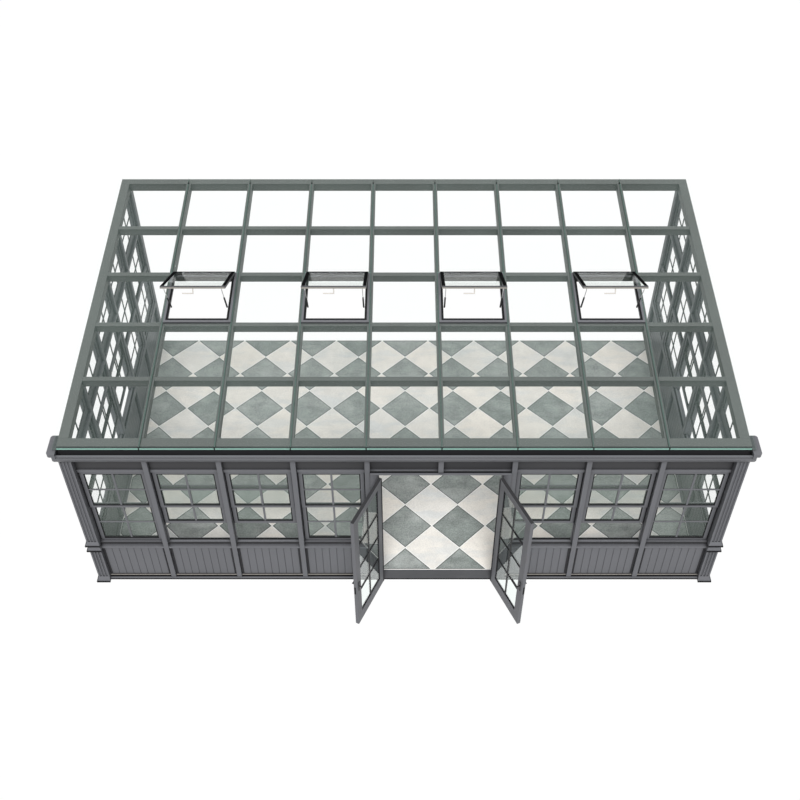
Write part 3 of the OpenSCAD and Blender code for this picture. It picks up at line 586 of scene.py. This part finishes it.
def glazing(name, settings):
    made = bpy.data.materials.new(name)
    made.use_nodes = True
    tree = made.node_tree
    shader = tree.nodes["Principled BSDF"]
    effect = tree.nodes.new("ShaderNodeGroup")
    effect.node_tree = GLAZING
    for socket, value in settings.items():
        effect.inputs[socket].default_value = value
    tree.links.new(effect.outputs["Color"], shader.inputs["Base Color"])
    inner_side = tree.nodes.new("ShaderNodeNewGeometry").outputs["Backfacing"]
    lit_edge = maths(tree, "MULTIPLY", effect.outputs["Rim"], maths(tree, "SUBTRACT", 1.0, inner_side))
    tree.links.new(maths(tree, "ADD", effect.outputs["Veil"], lit_edge), shader.inputs["Alpha"])
    shader.inputs["Roughness"].default_value = 0.04
    shader.inputs["IOR"].default_value = 1.45
    return made


def glazing_bars(bm, put, a0, a1, z0, z1, columns, rows, width=BAR_W):
    ups = [a0 + (a1 - a0) * k / columns for k in range(1, columns)]
    edges = [a0] + ups + [a1]
    lap = width / 2 - BAR_EASE
    for up in ups:
        ease_long_edges(bm, put(bm, up - width / 2, up + width / 2, z0, z1), BAR_EASE, BAR_STEPS)
    for row in range(1, rows):
        level = z0 + (z1 - z0) * row / rows
        for k in range(columns):
            left = edges[k] + (lap if k else 0)
            right = edges[k + 1] - (lap if k + 1 < columns else 0)
            bar = put(bm, left, right, level - width / 2, level + width / 2)
            ease_long_edges(bm, bar, BAR_EASE, BAR_STEPS)


def seal_faces(mid, pane_t):
    front, back = mid - pane_t / 2, mid + pane_t / 2
    return (front - SEAL_T, front), (back, back + SEAL_T)


def seal_ring(bm, put, a0, a1, z0, z1):
    put(bm, a0, a1, z0, z0 + SEAL_W)
    put(bm, a0, a1, z1 - SEAL_W, z1)
    put(bm, a0, a0 + SEAL_W, z0 + SEAL_W, z1 - SEAL_W)
    put(bm, a1 - SEAL_W, a1, z0 + SEAL_W, z1 - SEAL_W)


def wall_put(wall, d0, d1):
    return lambda bm, a0, a1, z0, z1: wall_box(bm, wall, a0, a1, d0, d1, z0, z1)


front_glazing = glazing(
    "front_window_glazing", {"Face": WINDOW_TINT, "Veil": 0.085, "Flat Axis": (0, 1, 0)}
)
side_glazing = glazing("side_window_glazing", {"Face": WINDOW_TINT, "Veil": 0.04, "Flat Axis": (1, 0, 0)})
finish_solid("front_window_glass", front_glazing, arris=0)
finish_solid("side_window_glass", side_glazing, arris=0)
for name in ("front_upper_sashes", "front_lower_sashes", "side_upper_sashes", "side_lower_sashes"):
    finish_solid(name, frame_paint)

bars, seals = bmesh.new(), bmesh.new()
for wall, bay, a0, a1 in wall_bays():
    raised = SASH_RAISE if bay in RAISED[wall] else 0.0
    left, right = a0 + SASH_STILE, a1 - SASH_STILE
    upper, lower = (SASH_FACE[0], UPPER_GLASS, 0.0), (SASH_FACE[1], LOWER_GLASS, raised)
    for face, glass_z, lift in (upper, lower):
        z0, z1 = glass_z[0] + lift, glass_z[1] + lift
        put = wall_put(wall, face + BAR_DEPTH[0], face + BAR_DEPTH[1])
        glazing_bars(bars, put, left, right, z0, z1, columns=2, rows=2)
        for d0, d1 in seal_faces(face + SASH_T / 2, PANE_T):
            seal_ring(seals, wall_put(wall, d0, d1), left, right, z0, z1)
        # Painted shade: black strips under each pane and beside the mullions.
        shade_tape = wall_put(wall, face - TAPE_T, face - HAIR)
        foot = RAIL_SHADE if raised or face == SASH_FACE[0] else FOOT_SHADE
        shade_tape(seals, left, right, z0 - foot, z0 - EDGE_GAP)
        for side in (a0, a1 - SIDE_SHADE):
            shade_tape(seals, side, side + SIDE_SHADE, z0 - SIDE_SHADE_RUN, z1 + SIDE_SHADE_RUN)
    if raised:
        inner = SASH_FACE[1] + SASH_T
        # Painted shade: a black strip on the sill below the raised sash.
        sill_shade_tape = wall_put(wall, SASH_FACE[1], inner)
        sill_shade_tape(seals, a0 + FIT, a1 - FIT, SILL_Z + BEDDING, SILL_Z + SILL_SHADE)
        put = wall_put(wall, SASH_FACE[0], inner)
        z0, z1 = SILL_Z + SILL_SHADE + FIT, SILL_Z + SASH_RAISE - LINER_GAP
        for side in (a0 + BEDDING, a1 - LINER_W - BEDDING):
            ease_long_edges(bars, put(bars, side, side + LINER_W, z0, z1), LINER_EASE)
place_piece(bars, "window_bars", [frame_paint], "frame")
place_piece(seals, "window_seals_and_shade", [black_rubber_and_shade], "frame")

# Side transoms: fixed lights between the head rails and the sloping end rafters.
# Their frames follow the slope, and bars halve each light and quarter the taller ones.
ROOF_SLOPE = 0.3 / 4.57
EAVE_H = 2.6
HEAD_TOP = 2.133
TRANSOM_FOOT, TRANSOM_TOP = 0.125, 0.07
FIRST_TALL_BAY = 2
RAFTER_H = 0.11


def roof_z(y):
    return EAVE_H + (y - Y_FRONT) * ROOF_SLOPE


bm = bmesh.new()
for wall in ("left", "right"):
    put = wall_put(wall, SASH_FACE[0] + BAR_DEPTH[0], SASH_FACE[0] + BAR_DEPTH[1])
    for j in range(SIDE_BAYS):
        y0, y1 = side_bay(j)
        middle = (y0 + y1) / 2
        z0, z1 = HEAD_TOP + TRANSOM_FOOT, roof_z(middle) - RAFTER_H - TRANSOM_TOP
        rows = 2 if j >= FIRST_TALL_BAY else 1
        glazing_bars(bm, put, y0 + SASH_STILE, y1 - SASH_STILE, z0, z1, columns=2, rows=rows)
place_piece(bm, "transom_bars", [frame_paint], "frame")
finish_solid("side_transom_frames", frame_paint)
finish_solid("side_transom_glass", side_glazing, arris=0)

# Double door: two glazed leaves on knuckle hinges, each with bars in two columns of four lights.
# Black lever handles sit on back plates on both faces, and rubber seals the leaves' edges.
# Grey strips on each leaf's top edge and beside its hinges are painted shade.
DOOR_MID = 0.42
LEAF_LOW = Vector((-0.3, -2.297, 0.045))
LEAF_HIGH = Vector((0.416, -2.252, 2.095))
LEAF_STILE, LEAF_BOTTOM, LEAF_TOP = 0.104, 0.168, 0.098
LEAF_PANE_T = 0.02
LEAF_BAR_W, LEAF_BAR_HALF = 0.018, 0.017
EDGE_SEAL, EDGE_SEAL_END = 0.002, 0.002
SWEEP_HALF, TOP_SHADE_HALF = 0.011, 0.019
HINGE_SHADE_W, HINGE_SHADE_T, HINGE_SHADE_END = 0.026, 0.0014, 0.003
LOCK_PLATE_D, LOCK_PLATE_T, LOCK_PLATE_Z = (0.004, 0.026), 0.0012, (0.69, 0.835)
LEVER_ARRIS, HINGE_ARRIS = 0.001, 0.0006
HINGE_AXIS = Vector((-0.3025, -2.308, 0))
OPEN_ANGLE = math.radians(-115)

to_axis, from_axis = Matrix.Translation(HINGE_AXIS), Matrix.Translation(-HINGE_AXIS)
swing = to_axis @ Matrix.Rotation(OPEN_ANGLE, 4, "Z") @ from_axis
mirrored = Matrix.Translation((2 * DOOR_MID, 0, 0)) @ Matrix.Diagonal((-1, 1, 1, 1))


def clear_glazing(name, tint, reflection, ior):
    made = bpy.data.materials.new(name)
    made.use_nodes = True
    shader = made.node_tree.nodes["Principled BSDF"]
    shader.inputs["Base Color"].default_value = (*tint, 1)
    shader.inputs["Specular Tint"].default_value = (*reflection, 1)
    shader.inputs["Transmission Weight"].default_value = 1.0
    shader.inputs["Roughness"].default_value = 0.0
    shader.inputs["IOR"].default_value = ior
    return made


def leaf_put(y0, y1):
    return lambda bm, a0, a1, z0, z1: box_between(bm, Vector((a0, y0, z0)), Vector((a1, y1, z1)))


black_metal = plain("black_lever_coat", (0.025, 0.025, 0.027), unevenness=0.2, roughness=0.35)
hinge_metal = plain("hinge_coat", (0.06, 0.06, 0.065), unevenness=0.2, roughness=0.38)
leaf_glazing = clear_glazing("leaf_glazing", (0.925, 0.99, 0.96), (0.85, 1.0, 0.93), ior=1.38)

glass_x = (LEAF_LOW.x + LEAF_STILE, LEAF_HIGH.x - LEAF_STILE)
glass_z = (LEAF_LOW.z + LEAF_BOTTOM, LEAF_HIGH.z - LEAF_TOP)
edge_x = (LEAF_LOW.x + EDGE_SEAL_END, LEAF_HIGH.x - EDGE_SEAL_END)
leaf_mid = (LEAF_LOW.y + LEAF_HIGH.y) / 2
for side, body in (("left", "left_door"), ("right", "right_door")):
    bars, seals, trims = bmesh.new(), bmesh.new(), bmesh.new()
    put = leaf_put(leaf_mid - LEAF_BAR_HALF, leaf_mid + LEAF_BAR_HALF)
    glazing_bars(bars, put, *glass_x, *glass_z, columns=2, rows=4, width=LEAF_BAR_W)
    for y0, y1 in seal_faces(leaf_mid, LEAF_PANE_T):
        seal_ring(seals, leaf_put(y0, y1), *glass_x, *glass_z)
    put = leaf_put(leaf_mid - SWEEP_HALF, leaf_mid + SWEEP_HALF)
    put(seals, *edge_x, LEAF_LOW.z - EDGE_SEAL, LEAF_LOW.z)
    put = leaf_put(LEAF_LOW.y + LOCK_PLATE_D[0], LEAF_LOW.y + LOCK_PLATE_D[1])
    put(seals, LEAF_HIGH.x, LEAF_HIGH.x + LOCK_PLATE_T, *LOCK_PLATE_Z)
    # Painted shade: grey strips on the leaf's top edge and beside its hinges.
    put = leaf_put(leaf_mid - TOP_SHADE_HALF, leaf_mid + TOP_SHADE_HALF)
    put(trims, *edge_x, LEAF_HIGH.z, LEAF_HIGH.z + EDGE_SEAL)
    put = leaf_put(LEAF_HIGH.y, LEAF_HIGH.y + HINGE_SHADE_T)
    put(trims, edge_x[0], LEAF_LOW.x + HINGE_SHADE_W, LEAF_LOW.z + HINGE_SHADE_END, LEAF_HIGH.z - HINGE_SHADE_END)
    for made in (bars, seals, trims):
        bmesh.ops.transform(made, matrix=swing, verts=made.verts)
        if side == "right":
            bmesh.ops.transform(made, matrix=mirrored, verts=made.verts)
            bmesh.ops.recalc_face_normals(made, faces=made.faces[:])
    place_piece(bars, side + "_leaf_bars", [black_metal], body)
    place_piece(seals, side + "_leaf_seals", [black_rubber_and_shade], body)
    place_piece(trims, side + "_leaf_shade_trims", [grey_painted_shade], body)
    finish_solid(side + "_leaf", frame_paint)
    finish_solid(side + "_leaf_glass", leaf_glazing, arris=0)
    finish_solid(side + "_leaf_handles", black_metal, arris=LEVER_ARRIS)
    finish_solid(side + "_leaf_hinges", hinge_metal, arris=HINGE_ARRIS)
finish_solid("jamb_hinges", hinge_metal, arris=HINGE_ARRIS)
for name in ("door_jambs", "door_stops", "door_head"):
    finish_solid(name, frame_paint)

# Eave: a deep beam on the front posts, and a box gutter with a thick lip and cast end caps.
# The trough's pan, and sheets on the beam and at both ends, are near black as painted shade, and it
# drains behind the lip.
GUTTER_FLOOR = 2.418
CAP_ARRIS = 0.006
SHADE_SHEET_T, SHADE_SHEET_TOP = 0.0022, 2.594
END_SHADE_SHEET_T, END_SHADE_SHEET_TOP = 0.0018, 2.56
END_SHADE_SHEET_Y = (-0.064, -0.003)

# The roof coat gets painted light on its upward faces and painted shade in its recesses.
roof_paint = coat("roof_coat", (0.085, 0.089, 0.086), unevenness=0.18, recess_shade=0.4, top_light=1.3)
# Painted shade: the trough's pan and sheets are near black.
trough_shade_coat = plain("trough_shade_coat", (0.03, 0.03, 0.033), unevenness=0.3, roughness=0.6)
finish_solid("gutter", frame_paint)
finish_solid("eave_beam", roof_paint)
finish_solid("gutter_pan", trough_shade_coat)
finish_solid("gutter_end_caps", frame_paint, arris=CAP_ARRIS)
bm = bmesh.new()
foot = GUTTER_FLOOR + FIT
box_between(bm, Vector((-SIDE_X, Y_FRONT - SHADE_SHEET_T, foot)), Vector((SIDE_X, Y_FRONT - HAIR, SHADE_SHEET_TOP)))
y0, y1 = (Y_FRONT + y for y in END_SHADE_SHEET_Y)
for side in (-1, 1):
    x0, x1 = span_on(side, SIDE_X - HAIR, SIDE_X - END_SHADE_SHEET_T)
    box_between(bm, Vector((x0, y0, foot)), Vector((x1, y1, END_SHADE_SHEET_TOP)))
place_piece(bm, "trough_shade_sheets", [trough_shade_coat], "frame")

# Roof: aluminium rafters and purlins under sheets of sealed glass with faintly green edges.
# Green sealant fills the joints between the sheets, with a plug of black rubber at either end.
ROOF_ANGLE = math.atan(ROOF_SLOPE)
RAFTER_LINES = range(1, 9)
JOINT_W = 0.0136
FRONT_PLUG = ((-0.048, 0.0008), (-0.03, 0.024))
BACK_PLUG = ((4.4502, 0.0008), (4.488, 0.02))
SEALANT = ((-0.0298, 0.012), (4.45, 0.022))
LIT_HALF_WIDTH = 3.85


def on_roof(bm, verts, x, y, lift=0.0, tilt=0.0):
    put = Matrix.Translation((x, y, roof_z(y) + lift)) @ Matrix.Rotation(ROOF_ANGLE - tilt, 4, "X")
    bmesh.ops.transform(bm, matrix=put, verts=verts)


def joint_filling(bm, x, low, high):
    made = box_between(bm, Vector((-JOINT_W / 2, *low)), Vector((JOINT_W / 2, *high)))
    on_roof(bm, made, x, Y_FRONT)


for name in ("rafters", "end_rafters", "purlins", "wall_plate"):
    finish_solid(name, roof_paint)
roof_tints = {"Face": (0.72, 0.95, 0.87, 1), "Edge": (0.4, 0.7, 0.6, 1)}
roof_veils = {"Veil": 0.034, "Edge Veil": 0.85, "Half Width": LIT_HALF_WIDTH}
finish_solid("roof_glass", glazing("roof_glazing", {**roof_tints, **roof_veils}), arris=0)
green_sealant = plain("green_sealant", (0.105, 0.155, 0.138), unevenness=0.35, roughness=0.3)
gaskets, sealant = bmesh.new(), bmesh.new()
for k in RAFTER_LINES:
    x = front_bay(k)[0] - HALF_MULLION
    joint_filling(gaskets, x, *FRONT_PLUG)
    joint_filling(gaskets, x, *BACK_PLUG)
    joint_filling(sealant, x, *SEALANT)
place_piece(gaskets, "roof_gaskets", [black_rubber_and_shade], "frame")
place_piece(sealant, "joint_sealant", [green_sealant], "frame")

# Roof vents: dark grey curbs and charcoal sashes, each held open by two gas stays with a black barrel.
# Black strips of painted shade edge each curb's opening, and black bands edge the glass. A lip whose pale
# tan is a painted highlight and a bent handle of pale metal hang at the free edge.
VENT_BAYS = (1, 3, 5, 7)
GLASS_JOINT = 0.014
VENT_HALF = (PURLIN_PITCH - GLASS_JOINT) / 2
CURB_HALF = (BAY_PITCH - GLASS_JOINT) / 2
CURB_H, CURB_W = 0.034, 0.055
CURB_STRIP, CURB_STRIP_GAP = 0.026, 0.002
VENT_LIFT = CURB_H + BEDDING
VENT_HINGE_Y = VENT_HALF - CURB_W / 2
VENT_LEN = (VENT_HINGE_Y + VENT_HALF) / math.cos(ROOF_ANGLE)
VENT_OPEN = math.radians(32)
VENT_SIDE, VENT_T = 0.39, 0.03
BAND_W, BAND_EDGE, BAND_HINGE_GAP = 0.044, 0.002, 0.003
VENT_RAIL = 0.028
LIP_END, LIP_T, LIP_Z = 0.004, 0.0012, (0.002, 0.017)
STAY_X = 0.343
STAY_FOOT_SHARE = 0.68
STAY_HEAD = (0.013, -0.016)
BARREL_R = 0.009
BARREL_SHARE = 0.55
SLEEVE_T, SLEEVE_SIDES = 0.0012, 20

vent_paint = coat("charcoal_coat", (0.095, 0.096, 0.102), unevenness=0.25)
bright_rod = plain("bright_steel", (0.62, 0.62, 0.62), unevenness=0.08, roughness=0.25)
pale_handle = plain("pale_cast_metal", (0.72, 0.68, 0.63), unevenness=0.12, roughness=0.4)
matt_tape = plain("matt_black_tape", (0.012, 0.012, 0.013), unevenness=0.3, roughness=0.9, gloss=0.0)
vent_glazing = clear_glazing("vent_glazing", (0.95, 0.99, 0.97), (0.75, 1.0, 0.88), ior=1.07)
finish_solid("vent_curbs", frame_paint)
finish_solid("vent_sashes", vent_paint)
finish_solid("vent_glass", vent_glazing, arris=0)
finish_solid("vent_stays", bright_rod, arris=0)
finish_solid("vent_handles", pale_handle, arris=0)

along = Vector((-math.cos(VENT_OPEN), -math.sin(VENT_OPEN)))
down = Vector((math.sin(VENT_OPEN), -math.cos(VENT_OPEN)))
stay_foot = VENT_LEN * STAY_FOOT_SHARE * along + CURB_H / 2 * down
stay_run = Vector((STAY_HEAD[0] - VENT_LEN, STAY_HEAD[1])) - stay_foot
sleeve_middle = stay_foot + stay_run * BARREL_SHARE / 2
sleeve_lean = Matrix.Rotation(math.atan2(stay_run.y, stay_run.x) - math.pi / 2, 4, "X")
free_edge, hinge_edge = VENT_RAIL - VENT_LEN, -BAND_HINGE_GAP
outer, inner = VENT_SIDE - BAND_EDGE, VENT_SIDE - BAND_W
bands = (
    ((-outer, free_edge), (-inner, hinge_edge)),
    ((inner, free_edge), (outer, hinge_edge)),
    ((-inner, -BAND_W), (inner, hinge_edge)),
)
wide, deep = CURB_HALF - CURB_W, VENT_HALF - CURB_W
strip_wide, strip_deep = wide + CURB_STRIP, deep + CURB_STRIP
curb_strips = (
    ((-strip_wide, -strip_deep), (strip_wide, -deep)),
    ((-strip_wide, deep), (strip_wide, strip_deep - CURB_STRIP_GAP)),
    ((-strip_wide, -deep), (-wide, deep)),
    ((wide, -deep), (strip_wide, deep)),
)
lip_low = Vector((LIP_END - VENT_SIDE, -VENT_LEN - LIP_T, LIP_Z[0]))
lip_high = Vector((VENT_SIDE - LIP_END, -VENT_LEN - HAIR, LIP_Z[1]))

sleeves, curb_shade, sash_tapes, lips = bmesh.new(), bmesh.new(), bmesh.new(), bmesh.new()
for bay in VENT_BAYS:
    x = front_bay(bay)[0] + BAY_CLEAR / 2
    for side in (-1, 1):
        sleeve = bmesh.ops.create_cone(
            sleeves, cap_ends=True, segments=SLEEVE_SIDES,
            radius1=BARREL_R + SLEEVE_T, radius2=BARREL_R + SLEEVE_T,
            depth=stay_run.length * BARREL_SHARE,
            matrix=Matrix.Translation((side * STAY_X, *sleeve_middle)) @ sleeve_lean,
        )["verts"]
        on_roof(sleeves, sleeve, x, VENT_HINGE_Y, VENT_LIFT, VENT_OPEN)
    for low, high in bands:
        band = box_between(sash_tapes, Vector((*low, VENT_T)), Vector((*high, VENT_T + TAPE_T)))
        on_roof(sash_tapes, band, x, VENT_HINGE_Y, VENT_LIFT, VENT_OPEN)
    # The lip's pale tan is a painted highlight.
    on_roof(lips, box_between(lips, lip_low, lip_high), x, VENT_HINGE_Y, VENT_LIFT, VENT_OPEN)
    # Painted shade: black strips round the opening on top of each curb.
    for low, high in curb_strips:
        strip = box_between(curb_shade, Vector((*low, HAIR)), Vector((*high, HAIR + STRIP_T)))
        on_roof(curb_shade, strip, x, 0.0, CURB_H)
place_piece(sleeves, "stay_sleeves", [black_metal], "frame")
place_piece(curb_shade, "vent_curb_shade", [black_rubber_and_shade], "frame")
place_piece(sash_tapes, "vent_sash_tapes", [matt_tape], "frame")
place_piece(lips, "vent_lips", [pale_highlight_bead], "frame")

# Studio: a pale floor, soft light from the front and above, and the camera of the photograph.
# The ground and the sky show white to the camera, and the ground keeps a soft shadow.
GROUND_HALF, GROUND_Z = 60, -0.002
PAPER_GREY = (0.3, 0.3, 0.3, 1)
GLOW, GLOW_SHARE = 1.06, 0.93
SKY_FILL, SKY_SEEN = 0.36, 1.0
KEY_ENERGY = 2.75
KEY_SPREAD, KEY_TILT = math.radians(28), math.radians(37)
CAMERA_PLACE = (0, -10.3327, 11.9623)
CAMERA_TILT = math.radians(43.07)
CAMERA_LENS, CAMERA_SENSOR, CAMERA_SHIFT, CAMERA_REACH = 50, 36, -0.0051, 200


def seen_rays(tree):
    path = tree.nodes.new("ShaderNodeLightPath")
    seen = maths(tree, "MAXIMUM", path.outputs["Is Camera Ray"], path.outputs["Is Transmission Ray"])
    return maths(tree, "MAXIMUM", seen, path.outputs["Is Glossy Ray"])


ground_mesh = bpy.data.meshes.new("studio_floor")
bm = bmesh.new()
bmesh.ops.create_grid(bm, x_segments=1, y_segments=1, size=GROUND_HALF)
bmesh.ops.translate(bm, verts=bm.verts, vec=(0, 0, GROUND_Z))
bm.to_mesh(ground_mesh)
bm.free()
ground = bpy.data.objects.new("studio_floor", ground_mesh)
bpy.context.scene.collection.objects.link(ground)
paper = bpy.data.materials.new("white_paper")
paper.use_nodes = True
tree = paper.node_tree
matt = tree.nodes["Principled BSDF"]
matt.inputs["Base Color"].default_value = PAPER_GREY
matt.inputs["Roughness"].default_value = 0.9
glow = tree.nodes.new("ShaderNodeEmission")
glow.inputs["Strength"].default_value = GLOW
mix = tree.nodes.new("ShaderNodeMixShader")
tree.links.new(maths(tree, "MULTIPLY", seen_rays(tree), GLOW_SHARE), mix.inputs["Fac"])
tree.links.new(matt.outputs["BSDF"], mix.inputs[1])
tree.links.new(glow.outputs["Emission"], mix.inputs[2])
tree.links.new(mix.outputs["Shader"], tree.nodes["Material Output"].inputs["Surface"])
ground_mesh.materials.append(paper)

world = bpy.data.worlds.new("studio_sky")
bpy.context.scene.world = world
world.use_nodes = True
tree = world.node_tree
sky = tree.nodes["Background"]
sky.inputs["Color"].default_value = (1, 1, 1, 1)
strength = remap(tree, seen_rays(tree), span=(0.0, 1.0), onto=(SKY_FILL, SKY_SEEN))
tree.links.new(strength, sky.inputs["Strength"])

key = bpy.data.objects.new("key_light", bpy.data.lights.new("key_light", "SUN"))
key.data.energy = KEY_ENERGY
key.data.angle = KEY_SPREAD
key.rotation_euler = (KEY_TILT, 0, 0)
bpy.context.scene.collection.objects.link(key)

camera = bpy.data.objects.new("camera", bpy.data.cameras.new("camera"))
camera.data.lens = CAMERA_LENS
camera.data.sensor_width = CAMERA_SENSOR
camera.data.shift_x = CAMERA_SHIFT
camera.data.clip_end = CAMERA_REACH
camera.location = CAMERA_PLACE
camera.rotation_euler = (CAMERA_TILT, 0, 0)
bpy.context.scene.collection.objects.link(camera)
bpy.context.scene.camera = camera
bpy.context.scene.view_settings.view_transform = "Standard"
